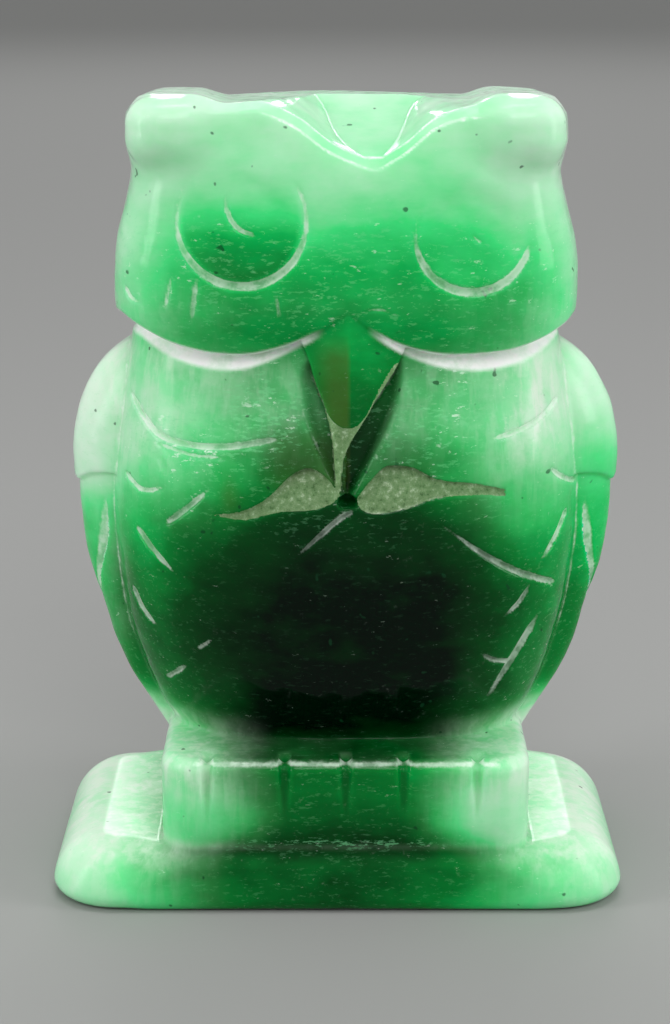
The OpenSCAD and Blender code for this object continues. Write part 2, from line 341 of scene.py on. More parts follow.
RIGHT_LEAF = dict(
    lower=[(-7.9, 25.12), (-6.3, 25.0), (-4.0, 25.55), (-1.6, 25.8), (-0.6, 26.3), (-0.4, 26.5)],
    upper=[(-7.9, 25.2), (-6.3, 25.5), (-4.8, 26.3), (-3.2, 27.8), (-2.2, 28.2), (-1.1, 27.6), (-0.4, 26.7)])
LEFT_LEAF = dict(
    lower=[(0.7, 26.1), (0.95, 25.75), (1.9, 25.5), (3.7, 25.8), (5.4, 26.35), (7.8, 26.4), (9.6, 26.15)],
    upper=[(0.7, 26.5), (1.4, 27.4), (2.6, 28.35), (4.0, 28.2), (5.4, 27.5), (7.8, 27.1), (9.6, 26.6)])


# ---- Strokes: a face, a curve on it, half width, depth, and how it fades at its start and end ---

def front_strokes():
    """Cuts seen from the front: points across and up."""
    chest = [([(-13.3, 32.0), (-12.2, 30.5), (-10.8, 29.5), (-7.6, 29.3), (-3.6, 30.0)],
              0.34, 0.26, 0.10, 0.15),
             ([(-11.6, 29.2), (-9.2, 28.7), (-6.8, 28.7)], 0.2, 0.14, 0.2, 0.3),
             ([(8.3, 29.6), (10.3, 30.0), (12.0, 30.7), (13.0, 31.6)], 0.28, 0.2, 0.25, 0.1),
             ([(-13.6, 26.9), (-12.4, 26.1), (-10.7, 26.6)], 0.25, 0.2, 0.1, 0.4)]
    belly = [([(0.6, 25.7), (-0.5, 25.1), (-3.4, 22.4)], 0.26, 0.24, 0.1, 0.5),
             ([(5.1, 25.2), (9.3, 22.0), (13.2, 19.8)], 0.34, 0.26, 0.6, 0.1),
             ([(-8.0, 26.9), (-9.6, 25.4), (-11.0, 24.2)], 0.28, 0.22, 0.4, 0.15),
             ([(-12.9, 23.8), (-11.6, 22.3), (-10.2, 21.0)], 0.30, 0.24, 0.15, 0.4),
             ([(-13.3, 19.6), (-12.6, 18.2), (-11.5, 17.1)], 0.30, 0.24, 0.15, 0.4),
             ([(-9.8, 15.0), (-11.3, 13.5)], 0.28, 0.2, 0.3, 0.15),
             ([(-8.0, 17.2), (-9.2, 16.2)], 0.22, 0.14, 0.4, 0.3),
             ([(12.3, 27.6), (13.3, 26.6), (14.4, 25.9)], 0.26, 0.2, 0.3, 0.1),
             ([(13.7, 24.6), (12.9, 23.0), (11.8, 21.5)], 0.26, 0.22, 0.1, 0.4),
             ([(11.4, 20.4), (10.6, 19.2), (9.5, 18.2)], 0.26, 0.2, 0.3, 0.4),
             ([(8.2, 16.1), (9.3, 15.4), (10.6, 15.1)], 0.26, 0.22, 0.3, 0.2),
             ([(12.0, 18.2), (10.5, 15.6), (8.6, 12.3)], 0.42, 0.24, 0.2, 0.5)]
    beak_sides = [([(-2.3, 34.0), (-1.6, 32.6), (-1.05, 31.2)], 0.17, 0.08, 0.3, 0.2),
                  ([(3.1, 34.0), (2.2, 32.7), (1.3, 31.4)], 0.26, 0.12, 0.2, 0.3),
                  ([(-3.0, 33.2), (-2.3, 30.8), (-1.1, 28.2)], 0.17, 0.06, 0.3, 0.2),
                  ([(3.5, 33.0), (2.6, 30.4), (1.3, 28.0)], 0.17, 0.05, 0.3, 0.2)]
    face = [([(0.5, 37.3), (1.9, 37.7), (3.4, 37.1)], 0.18, 0.10, 0.4, 0.5),
            ([(-10.2, 39.8), (-10.8, 37.2)], 0.26, 0.10, 0.4, 0.3),
            ([(-8.7, 39.8), (-9.2, 36.6)], 0.34, 0.12, 0.4, 0.3),
            ([(-4.1, 38.9), (-3.9, 36.7)], 0.26, 0.08, 0.4, 0.4),
            ([(-13.2, 38.7), (-12.8, 38.0), (-12.0, 37.7)], 0.24, 0.16, 0.2, 0.5),
            ([(7.3, 42.1), (7.7, 41.7), (8.1, 41.6)], 0.2, 0.10, 0.3, 0.4),
            ([(-6.6, 45.0), (-7.0, 44.1), (-6.8, 43.1), (-6.2, 42.35), (-5.1, 42.0)],
             0.26, 0.18, 0.5, 0.15)]
    return chest + belly + beak_sides + face


def toe_strokes():
    """The upright grooves between the toes."""
    return [([(x, LEDGE_Z + 1.5), (x + 0.02, 5.4)], 0.66, 0.34, 0.0, 0.7)
            for x in (-8.5, -3.75, 0.0, 3.55, 8.1)]


def wing_strokes():
    """Cuts on the side of each wing: points towards the back and up."""
    return [([(-2.6, 25.2), (-1.6, 20.5), (1.2, 15.2), (3.4, 12.2)], 0.3, 0.26, 0.2, 0.3),
            ([(0.8, 25.4), (2.2, 20.0), (4.6, 14.8), (6.4, 11.6)], 0.3, 0.26, 0.2, 0.3),
            ([(4.4, 25.4), (5.4, 20.2), (7.0, 15.6), (8.2, 12.8)], 0.3, 0.26, 0.2, 0.3),
            ([(1.0, 31.4), (3.4, 30.2), (6.4, 31.4)], 0.26, 0.2, 0.3, 0.3),
            ([(0.6, 28.6), (3.4, 27.9), (6.2, 28.6)], 0.24, 0.18, 0.3, 0.3)]


def back_strokes():
    """Cuts on the back: points across and up. Each is made on both sides of the spine."""
    strokes = [([(0, 34.4), (0.05, 26), (0, 19.4)], 0.42, 0.5, 0.05, 0.1),
               ([(0, 16.4), (0.0, 5.2)], 0.3, 0.3, 0.2, 0.1)]
    for side in (-1, 1):
        for points, width in [([(0.5, 19.6), (3.0, 16.6), (6.6, 13.0), (9.6, 10.9)], 0.4),
                              ([(1.8, 31.8), (5.2, 29.4), (9.6, 29.8), (12.6, 31.4)], 0.3),
                              ([(1.6, 27.6), (5.4, 24.8), (9.8, 25.2), (13.4, 27.0)], 0.3),
                              ([(2.6, 24.0), (4.2, 19.6), (7.4, 14.6)], 0.28),
                              ([(5.6, 24.2), (7.0, 20.0), (9.6, 15.6)], 0.28),
                              ([(9.0, 24.6), (10.0, 21.0), (11.6, 17.6)], 0.28),
                              ([(1.5, 16.2), (1.9, 5.2)], 0.26),
                              ([(3.0, 41.4), (5.6, 39.6), (8.6, 40.6)], 0.24),
                              ([(6.2, 44.8), (8.4, 43.2), (11.0, 44.2)], 0.24)]:
            strokes.append(([(side * across, up) for across, up in points], width, 0.25, 0.25, 0.25))
    return strokes


# Each eye's centre, the radius of its ring from one end to the other, the angles where the ring starts
# and ends, and how much darker the stone looks inside it.
EYES = [((-6.15, 42.85), (3.75, 3.85), 118, 398, 0.14), ((7.4, 42.1), (3.35, 3.45), 136, 352, -0.03)]


def eye_cuts(x, z):
    """The ring of each eye, widest and deepest below, and the hollow inside it."""
    cut = np.zeros(x.shape, np.float32)
    dish = np.zeros(x.shape, np.float32)
    for centre, radius, start, end, _ in EYES:
        gap, along = to_arc(x, z, centre, radius, start, end)
        low = np.clip((centre[1] - z) / radius[0], 0, 1)
        width = 0.17 + 0.13 * low
        fade = ease(along, 0.0, 0.35) * (1 - 0.9 * ease(along, 0.92, 1.0))
        ring = np.clip(1 - (gap / width) ** 2, 0, 1) * fade * (0.10 + 0.17 * low)
        cut = np.maximum(cut, ring)
        dish += 0.16 * (1 - ease(np.hypot(x - centre[0], z - centre[1]), radius[0] * 0.5, radius[0]))
    return cut, dish


def carved_strokes(u, v, strokes, shape):
    """Depth of a set of strokes on a flat drawing, worked out only near each of them."""
    depth = np.zeros(shape, np.float32)
    for points, width, deep, fade_in, fade_out in strokes:
        low, high = np.min(points, axis=0) - 1.0, np.max(points, axis=0) + 1.0
        near = np.nonzero((u > low[0]) & (u < high[0]) & (v > low[1]) & (v < high[1]))[0]
        gap, along = to_curve(u[near], v[near], points)
        fade = np.ones(len(near), np.float32)
        if fade_in:
            fade *= ease(along, 0, fade_in)
        if fade_out:
            fade *= 1 - ease(along, 1 - fade_out, 1)
        wide = width * (0.3 + 0.35 * fade)
        groove = np.clip(1 - (gap / wide) ** 2, 0, 1) * deep * fade
        depth[near] = np.maximum(depth[near], groove)
    return depth


def cuts(x, y, z):
    """Depth of every engraved cut at each point, and that of the shaped hollows."""
    on_front = ease(-y, 0.5, 2.5)
    on_back = ease(y, 0.5, 2.5)
    on_side = ease(np.abs(x), 7.5, 10) * ease(z, 10.5, 12)
    ring, dish = eye_cuts(x, z)
    lines = carved_strokes(x, z, front_strokes(), x.shape) * ease(-y, 1.5, 3.5)
    lines = np.maximum(lines, ring * on_front)
    lines = np.maximum(lines, carved_strokes(x, z, back_strokes(), x.shape) * on_back)
    on_wing = carved_strokes(y, z, wing_strokes(), x.shape) * on_side * ease(-y, -9.2, -8.2)
    lines = np.maximum(lines, on_wing)
    toes = carved_strokes(x, z, toe_strokes(), x.shape) * ease(-y, 8.3, 9.3)
    return lines, toes, dish * on_front


def leaves(x, y, z):
    """Where the two leaf shaped flats beside the beak lie, and how deep they are cut."""
    on, deep = np.zeros(x.shape, np.float32), np.zeros(x.shape, np.float32)
    for outline in (RIGHT_LEAF, LEFT_LEAF):
        here, up = leaf(x, z, **outline)
        on = np.maximum(on, here)
        deep = np.maximum(deep, here * (0.10 + 0.12 * np.maximum(up, 0)))
    return on * (y < -4), deep * (y < -4)


def hand_wobble(x, y, z):
    """Small unevenness left by the wheel and the polishing cloth."""
    return (0.035 * np.sin(0.55 * x + 0.31 * z + 0.6) * np.sin(0.43 * y - 0.38 * z + 1.9)
            + 0.022 * np.sin(1.25 * x - 0.7 * z + 0.4 * y) * np.sin(1.05 * z + 0.8 * y + 2.2)
            + 0.010 * np.sin(2.6 * x + 1.9 * z) * np.sin(2.2 * z - 2.4 * y + 0.7))


def stone(x, y, z):
    """Signed distance to the carved surface, negative inside the stone."""
    lines, toes, dish = cuts(x, y, z)
    _, leaf_deep = leaves(x, y, z)
    below_cheek = cheek_edge(x, y) - z
    tall = 0.5 + 0.6 * ease(np.abs(x), 1.5, 9)
    channel = 0.6 * np.clip(1 - below_cheek / tall, 0, 1) * ease(below_cheek, -1.5, -0.3)
    channel = channel * ease(np.abs(x), 0.8, 2.2)
    body = join(torso(x, y, z), wings(x, y, z), 0.25)
    body = body + channel + beak_bed(x, y, z) + leaf_deep
    pit = np.sqrt(((x - 0.1) / 0.75) ** 2 + ((z - 26.2) / 0.5) ** 2)
    body = body + 1.1 * (1 - ease(pit, 0.3, 1.0)) * (y < 0)
    top = head(x, y, z) + dish
    owl = np.minimum(np.minimum(body, top), beak(x, y, z))
    base = join(plinth(x, y, z), feet(x, y, z) + toes, 0.3)
    base = join(base, tail(x, y, z), 0.35)
    wobble = hand_wobble(x, y, z) * ease(z, 0.4, 2.0) * (0.15 + 0.85 * ease(z, 5, 12))
    return join(owl, base, 0.22) + lines + wobble


# ---- From the field to a mesh ---------------------------------------------------------------

def stone_grid():
    """The field on a fine grid, worked out only in the small blocks that the surface may cross."""
    low = np.array([PLINTH_LOW[0] - BODY_X, PLINTH_LOW[1] - 0.4, -0.5]) - 0.3
    high = np.array([PLINTH_HIGH[0] - BODY_X, TAIL_HIGH[1], TOP_Z]) + 0.9
    count = np.ceil((high - low) / (GRAIN * PER_BLOCK)).astype(int)
    first = [low[i] + (np.arange(count[i]) * PER_BLOCK) * GRAIN for i in range(3)]
    middle = [axis + GRAIN * (PER_BLOCK - 1) / 2 for axis in first]
    centres = [axis.ravel().astype(np.float32) for axis in np.meshgrid(*middle, indexing="ij")]
    coarse = stone(*centres).reshape(count)
    blocks = np.empty((*count, PER_BLOCK, PER_BLOCK, PER_BLOCK), np.float32)
    blocks[:] = (np.sign(coarse) * FAR)[..., None, None, None]
    half_diagonal, spare = GRAIN * PER_BLOCK * 0.87, 0.45
    near = np.abs(coarse) < half_diagonal + spare
    corner = [axis.ravel()[near.ravel()] for axis in np.meshgrid(*first, indexing="ij")]
    offset = np.meshgrid(*[np.arange(PER_BLOCK) * GRAIN] * 3, indexing="ij")
    points = [(c[:, None] + o.ravel()[None, :]).ravel().astype(np.float32) for c, o in zip(corner, offset)]
    blocks[near] = np.clip(stone(*points), -FAR, FAR).reshape(-1, PER_BLOCK, PER_BLOCK, PER_BLOCK)
    return blocks.transpose(0, 3, 1, 4, 2, 5).reshape(count * PER_BLOCK), low


def uphill(points):
    """The field's value and gradient at some points."""
    x, y, z = points.T.astype(np.float32)
    step = 0.04
    slope = [(stone(x + a, y + b, z + c) - stone(x - a, y - b, z - c)) / (2 * step)
             for a, b, c in ((step, 0, 0), (0, step, 0), (0, 0, step))]
    return stone(x, y, z), np.array(slope).T


def largest_part(points, quads):
    """The main closed surface alone, without any crumb that the grid leaves beside it."""
    label = np.arange(len(points))
    while True:
        lowest = label.copy()
        np.minimum.at(lowest, quads.ravel(), np.repeat(label[quads].min(axis=1), 4))
        lowest = lowest[lowest]
        if (lowest == label).all():
            break
        label = lowest
    main = label == np.bincount(label).argmax()
    number = np.cumsum(main) - 1
    return points[main], number[quads[main[quads[:, 0]]]]


def stone_mesh(name):
    """The closed surface of the stone, drawn tight on to the field, and its points in millimetres."""
    field, low = stone_grid()
    grid = openvdb.FloatGrid(FAR)
    grid.copyFromArray(field)
    points, quads = grid.convertToQuads(isovalue=0)
    points, quads = largest_part(points * GRAIN + low, quads)
    farthest = 0.6 * GRAIN
    for _ in range(2):
        value, slope = uphill(points)
        steep = np.maximum((slope**2).sum(axis=1), 0.3)
        move = -slope * (value / steep)[:, None]
        length = np.linalg.norm(move, axis=1, keepdims=True)
        points = points + move * np.minimum(1, farthest / np.maximum(length, 1e-9))
    points[:, 2] = np.maximum(points[:, 2], 0)
    mesh = bpy.data.meshes.new(name)
    placed = (points + (BODY_X, 0, 0)) * MM
    mesh.from_pydata(placed.tolist(), [], quads.tolist())
    mesh.validate()
    mesh.update()
    mesh.shade_smooth()
    return mesh, points


# ---- What the finish depends on -------------------------------------------------------------

def half_width(z):
    """Half width of the owl and its base at a height."""
    return fair(z, (0, 18), (4, 17), (4.6, 12.4), (10, 12.0), (12, 13), (18, 15.0), (27, 16.0), (33, 15),
                (35.5, 14.2), (42, 14.0), (50, 13.6))


def spot(a, b, centre, reach):
    """A soft round or oval spot on a flat drawing, 1 at its centre."""
    return np.exp(-((a - centre[0]) / reach[0]) ** 2 - ((b - centre[1]) / reach[1]) ** 2)


def hair_line(distance, width):
    """A soft line, 1 where a distance is 0."""
    return np.exp(-(distance / width) ** 2)


def depth_and_shade_of_stone(x, y, z):
    """0 where the stone is thin and pale, and 1 where it is so thick that it looks nearly black. Partly
    painted light and shade: the head is painted paler towards its top as if lit from above, and the belly,
    the ledge's top and the crease under the ledge are painted darker as shade.
    """
    out = np.abs(x) / half_width(z)
    centre = fair(z, (0, 0.78), (3.5, 0.80), (4.4, 0.86), (6, 0.78), (9.5, 0.66), (10.2, 0.88), (12, 1.0),
                  (21, 0.99), (25.2, 0.88), (26.8, 0.75), (29, 0.68), (31, 0.60), (33, 0.54), (36, 0.585),
                  (39, 0.53), (41.5, 0.40), (43.5, 0.26), (45.5, 0.18), (48, 0.15), (50, 0.10))
    edge = fair(z, (0, 0.24), (4, 0.22), (6, 0.24), (9.8, 0.20), (10.6, 0.40), (14, 0.66), (20, 0.64),
                (24, 0.50), (27, 0.38), (30, 0.24), (34, 0.22), (37, 0.30), (41, 0.18), (46, 0.12),
                (50, 0.05))
    spread = fair(z, (0, 0.12), (4, 0.2), (6, 0.30), (10, 0.40), (12, 0.30), (20, 0.32), (25, 0.16),
                  (30, 0.12), (36, 0.50), (50, 0.5))
    end = fair(z, (0, 0.9), (4, 0.95), (10, 1.0), (13, 0.98), (20, 0.90), (26, 0.86), (36, 1.05))
    thick_and_shaded = edge + (centre - edge) * (1 - ease(out, spread, end))
    right = fair(z, (8, 0.64), (14, 0.60), (20, 0.54), (24, 0.36), (26, 0.16), (34, 0.06))
    left = fair(z, (8, 0.68), (14, 0.64), (20, 0.56), (24, 0.44), (28, 0.32), (31, 0.12), (34, 0.06))
    folded = np.where(x < 0, right, left)
    on_wing = ease(np.abs(x) + 0.12 * y, 12.9, 15.4) * (z < NECK_Z) * (z > LEDGE_Z)
    thick_and_shaded = thick_and_shaded + (folded - thick_and_shaded) * on_wing
    leaning = np.clip(x / 8, -1, 1) * (1 - ease(z, 9, 10.5)) * (1 - ease(np.abs(x), 12.5, 14.5))
    return thick_and_shaded - 0.05 * leaning


def haze_and_sheen_of_stone(x, y, z):
    """How much whitish haze lies just under the polish, partly a painted sheen and rim light: paler towards
    the sides, on the plinth's lobes and the ledge's ends, and in thin lines along the crease over the plinth
    and the ledge's edge.
    """
    out = np.abs(x) / half_width(z)
    sides = fair(z, (0, 0.35), (2.4, 1.2), (3.8, 2.2), (5, 0.40), (7, 0.55), (9.2, 1.5), (10.5, 1.1),
                 (11.6, 0.15), (12.6, 0.0), (21, 0.0), (24, 0.05), (26.5, 0.4), (29, 1.0), (34, 1.25),
                 (35.2, 0.55), (37.5, 0.40), (40, 0.12), (43, 0.1), (50, 0.4))
    # The narrow rises at 4.35 and 9.85 are painted highlights along the crease over the plinth and along the
    # ledge's edge.
    middle = fair(z, (0, 0.0), (4.0, 0.0), (4.35, 0.15), (4.7, 0.0), (9.7, 0.0), (9.85, 0.15), (10.0, 0.0),
                  (25, 0.0), (27.5, 0.05), (29.5, 0.25), (31.5, 0.6), (33.5, 0.75), (35.2, 0.08), (38, 0.04),
                  (42, 0.0), (50, 0.0))
    bright = spot(x, z, (10.8, 30.5), (2.4, 3.6)) * (y < 0)
    haze = middle + (sides - middle) * ease(out, 0.35, 0.9) + 0.8 * bright
    haze = haze * (1 - 0.6 * ease(x, 13.2, 15.6) * ease(z, 9, 11))
    return haze + 0.25 * ease(-x, 12.8, 14.8) * ease(z, 13, 17)


def flecks_of_stone(x, y, z):
    """How thickly small bright flecks lie in the stone: mostly in drifts on the chest, and in a thin line
    along the crease over the plinth that is a painted glint.
    """
    flecks = 0.24 + 0.26 * ease(z, 35, 38) * (1 - ease(z, 41, 45)) - 0.06 * (z < 9) - 0.2 * (z > 43)
    in_core = (1 - ease(np.abs(x) / half_width(z), 0.3, 1.0)) * ease(z, 9, 11) * (1 - ease(z, 22, 26))
    flecks = flecks - 0.20 * in_core
    # The last drift, a thin line along the crease over the plinth, paints a glint there.
    drifts_and_crease_glint = [((-4.8, 31.4), (3.4, 2.6)), ((6.2, 31.4), (3.6, 3.0)), ((-9.5, 29.0), (3.4, 2.2)),
              ((0.0, 4.6), (9, 0.35))]
    for centre, reach in drifts_and_crease_glint:
        flecks = flecks + 0.75 * spot(x, z, centre, reach) * (y < 0)
    return np.clip(flecks, 0, 1)


def beak_parts(x, y, z):
    """Where the beak shows, and the flat on it, whose upper edge runs up in two horns."""
    shows = (np.abs(x) < 3.4) & (z < cheek_edge(x, y) - 0.1) & (z > 26.6) & (beak(x, y, z) < 0.05)
    horns = fair(x, (-1.9, 33.6), (-1.35, 32.0), (-0.6, 31.0), (0.25, 30.75), (1.1, 31.3), (2.1, 33.2),
                 (2.9, 34.4))
    return shows, shows * ease(horns - z, -0.1, 0.15) * ease(z, 26.5, 27.0)


def cheek_lip_highlight(x, y, z):
    """The pale hollow that runs round under the head: a painted highlight, white where its upward slope
    would catch the light.
    """
    below = cheek_edge(x, y) - z
    tall = 0.2 + 0.7 * ease(np.abs(x), 1.2, 8.5)
    lip = ease(below, -0.2, 0.0) * (1 - ease(below, tall, tall + 0.3)) * ease(np.abs(x), 1.2, 2.6)
    return lip * (1 - 0.6 * ease(y, -2, 2)) * (z < NECK_Z + 3)


def brow_edge_highlight(x, y, z):
    """A painted highlight along the two edges of the brow's bevel."""
    rough, over = head_form(x, y, z), over_brow(x, y, z)
    edge_glint = np.maximum(hair_line(over + BROW_BEVEL, 0.07), hair_line(rough + BROW_BEVEL, 0.07))
    edge_glint = edge_glint * (rough > -BROW_BEVEL - 0.15) * (over > -BROW_BEVEL - 0.15)
    edge_glint = edge_glint * (1 - ease(np.abs(x - BROW_X), 5.0, 7.5))
    return edge_glint * (y < 0) * ease(z, 45.5, 46.4) * (z < 49.75)


def ledge_edge_highlight(x, y, z):
    """A painted highlight along the front edge of the ledge over the toes."""
    return hair_line(z - LEDGE_Z + 0.22, 0.13) * (y < FEET_FRONT_Y + 1.0) * (1 - ease(np.abs(x), 8.8, 10))


def wing_seam(x, y, z):
    """The line where each wing lies against the body."""
    seam = hair_line(torso(x, y, z) - wings(x, y, z), 0.12) * ease(-y, -1, 1)
    return seam * ease(z, 13, 18) * (1 - ease(z, 33, 34.5)) * (np.abs(x) > 11)


def stain(x, z):
    """The olive stain beside the beak, and the small one by the right leaf."""
    wide = ((x > -5.5) & (x < 0.2)) * ease(z, 26.2, 27.6) * (1 - ease(z, 29.5, 31.5))
    return wide * ease(x, -5.5, -3.5) * 0.45 + 0.8 * spot(x, z, (-7.0, 26.6), (0.55, 1.1))


def shade_of_stone(x, y, z, in_beak, bed, facing_up):
    """The depth of stone, with what the beak, its bed, the eyes and the level tops add to it. The bed round
    the beak is painted darker as shade, and the level tops are painted darker on the head and the plinth's
    middle and lighter at the plinth's ends, for the lamps above them.
    """
    thick_and_shaded = depth_and_shade_of_stone(x, y, z)
    thick_and_shaded = np.where(in_beak, np.maximum(thick_and_shaded, 0.72 - 0.12 * ease(z, 32, 36)), thick_and_shaded)
    # Painted shade: the recessed bed round the beak is made darker.
    thick_and_shaded = thick_and_shaded + 0.24 * bed + 0.10 * spot(x, z, (-3.4, 28.6), (2.0, 1.6)) * (y < 0)
    for centre, radius, _, _, darker in EYES:
        inside = 1 - ease(np.hypot(x - centre[0], z - centre[1]), radius[0] - 0.5, radius[0] + 0.05)
        thick_and_shaded = thick_and_shaded + darker * inside * ease(centre[1] + 2.2 - z, 0, 3.6) * (y < 0)
    # Painted light and shade: surfaces that face up are made darker on the head and the plinth's middle, and
    # lighter at the plinth's ends.
    lit_top_mask = ease(facing_up, 0.35, 0.9)
    thick_and_shaded = thick_and_shaded + 0.03 * lit_top_mask * (z > 45)
    thick_and_shaded = thick_and_shaded + 0.06 * lit_top_mask * (z < 5) * (1 - 2.2 * ease(np.abs(x), 13, 15.5))
    return thick_and_shaded - 0.06 * spot(x, z, (6, 32), (3, 3)) * (y < 0)


def carve_owl():
    """The finished stone, with what its finish depends on stored at each vertex."""
    mesh, points = stone_mesh("owl")
    x, y, z = points.T.astype(np.float32)
    facing = np.empty(3 * len(mesh.vertices), np.float32)
    mesh.vertex_normals.foreach_get("vector", facing)
    facing_up = facing.reshape(-1, 3)[:, 2]

    lines, _, dish = cuts(x, y, z)
    on_leaf, _ = leaves(x, y, z)
    in_beak, flat = beak_parts(x, y, z)
    bed = beak_bed(x, y, z) * ~in_beak * (z < cheek_edge(x, y)) * (z > 26.4)
    stained = stain(x, z)
    clear = ~in_beak * (1 - np.clip(bed * 1.2, 0, 1)) * (1 - 4 * dish) * (1 - np.minimum(stained, 1))
    streak = in_beak * (1 - ease(x, 0.1, 0.25)) * ease(x, -2.2, -0.6) * (1 - flat)
    streak = streak * (1 - ease(z, 34.6, 36.4))
    scratched = np.clip(lines / 0.17, 0, 1)
    edge_highlights_and_seam = [0.8 * brow_edge_highlight(x, y, z), 0.7 * ledge_edge_highlight(x, y, z), 0.42 * wing_seam(x, y, z)]
    # Several of these values carry painted light and shade as well as the stone's own colour: the depth of
    # colour, the haze, the frost, the lip and the leaves.
    kept = {"depth": shade_of_stone(x, y, z, in_beak, bed, facing_up),
            "haze": haze_and_sheen_of_stone(x, y, z) * clear,
            "flecks": flecks_of_stone(x, y, z) * (1 - 0.7 * in_beak),
            "olive": (streak + stained) * (y < 0),
            # Frosted cuts, with painted highlights along the brow's bevel and the ledge's edge, and the pale
            # line of the wing seams.
            "frost": np.max([scratched, *edge_highlights_and_seam], axis=0),
            "lip": cheek_lip_highlight(x, y, z),
            "leaf": np.maximum(on_leaf, flat)}
    for name, values in kept.items():
        layer = mesh.attributes.new(name, "FLOAT", "POINT")
        layer.data.foreach_set("value", np.ascontiguousarray(values, np.float32))
    piece = bpy.data.objects.new("owl", mesh)
    bpy.context.scene.collection.objects.link(piece)
    return piece


# ---- Shader maths ---------------------------------------------------------------------------

def set_stops(ramp, stops):
    """Gives a colour ramp its (place, colour) stops, in order."""
    ramp.elements[0].position = stops[0][0]
    ramp.elements[1].position = stops[-1][0]
    for place, _ in stops[1:-1]:
        ramp.elements.new(place)
    for element, (_, shown) in zip(ramp.elements, stops):
        element.color = shown


class Wire:
    """A socket that can be used in Python sums. Math nodes are added as it is used."""

    def __init__(self, tree, socket):
        self.tree = tree
        self.socket = socket

    def node(self, kind, settings=None, numbered=None, **named):
        """Adds a node: its type, its settings, and the values or wires of its sockets, by number or by
        name, with _ for a space."""
        made = self.tree.nodes.new(kind)
        for key, value in (settings or {}).items():
            if key == "stops":
                set_stops(made.color_ramp, value)
            else:
                setattr(made, key, value)
        sockets = dict(numbered or {})
        sockets.update({key.replace("_", " "): value for key, value in named.items()})
        for key, value in sockets.items():
            if isinstance(value, Wire):
                self.tree.links.new(value.socket, made.inputs[key])
            else:
                made.inputs[key].default_value = value
        return made

    def out(self, made, name=0):
        """One of a node's results, as a wire."""
        return Wire(self.tree, made.outputs[name])

    def math(self, operation, *values):
        return self.out(self.node("ShaderNodeMath", {"operation": operation}, dict(enumerate(values))))

    def __add__(self, other):
        return self.math("ADD", self, other)

    def __radd__(self, other):
        return self.math("ADD", other, self)

    def __sub__(self, other):
        return self.math("SUBTRACT", self, other)

    def __rsub__(self, other):
        return self.math("SUBTRACT", other, self)

    def __mul__(self, other):
        return self.math("MULTIPLY", self, other)

    def __rmul__(self, other):
        return self.math("MULTIPLY", other, self)

    def within(self, start, end):
        """A smooth rise from 0 at start to 1 at end."""
        made = self.node("ShaderNodeMapRange", {"interpolation_type": "SMOOTHSTEP"},
                         Value=self, From_Min=start, From_Max=end)
        return self.out(made)

    def blend(self, other, share):
        """This colour, with a share of the other over it."""
        return self.out(self.node("ShaderNodeMix", {"data_type": "RGBA"}, {0: share, 6: self, 7: other}), 2)


def colour(*shown):
    """A colour given in 0 to 255, as a screen shows it, made linear."""
    parts = [c / 255 for c in shown]
    return (*[c / 12.92 if c <= 0.04045 else ((c + 0.055) / 1.055) ** 2.4 for c in parts], 1)


# From pale to nearly black: the stone's own depth of colour, and the painted light and shade that the depth
# value carries.
PALE_TO_DARK = [(0.00, colour(220, 238, 224)), (0.16, colour(168, 232, 186)), (0.34, colour(66, 222, 130)),
                 (0.50, colour(10, 184, 88)), (0.66, colour(0, 124, 46)), (0.82, colour(0, 70, 20)),
                 (1.00, colour(0, 16, 5))]
SAWN_AND_REFLECTED = [(0.30, colour(62, 98, 54)), (0.44, colour(112, 144, 98)), (0.56, colour(128, 158, 114)),
        (0.68, colour(180, 200, 168))]
MILK_AND_SHEEN = colour(214, 232, 214)
GLITTER = colour(128, 216, 154)
FLECK = colour(222, 244, 226)
OLIVE = colour(78, 100, 34)
SPECK = colour(14, 62, 34)
LIP_HIGHLIGHT = colour(246, 252, 246)
FROST_AND_HIGHLIGHT = colour(228, 244, 230)


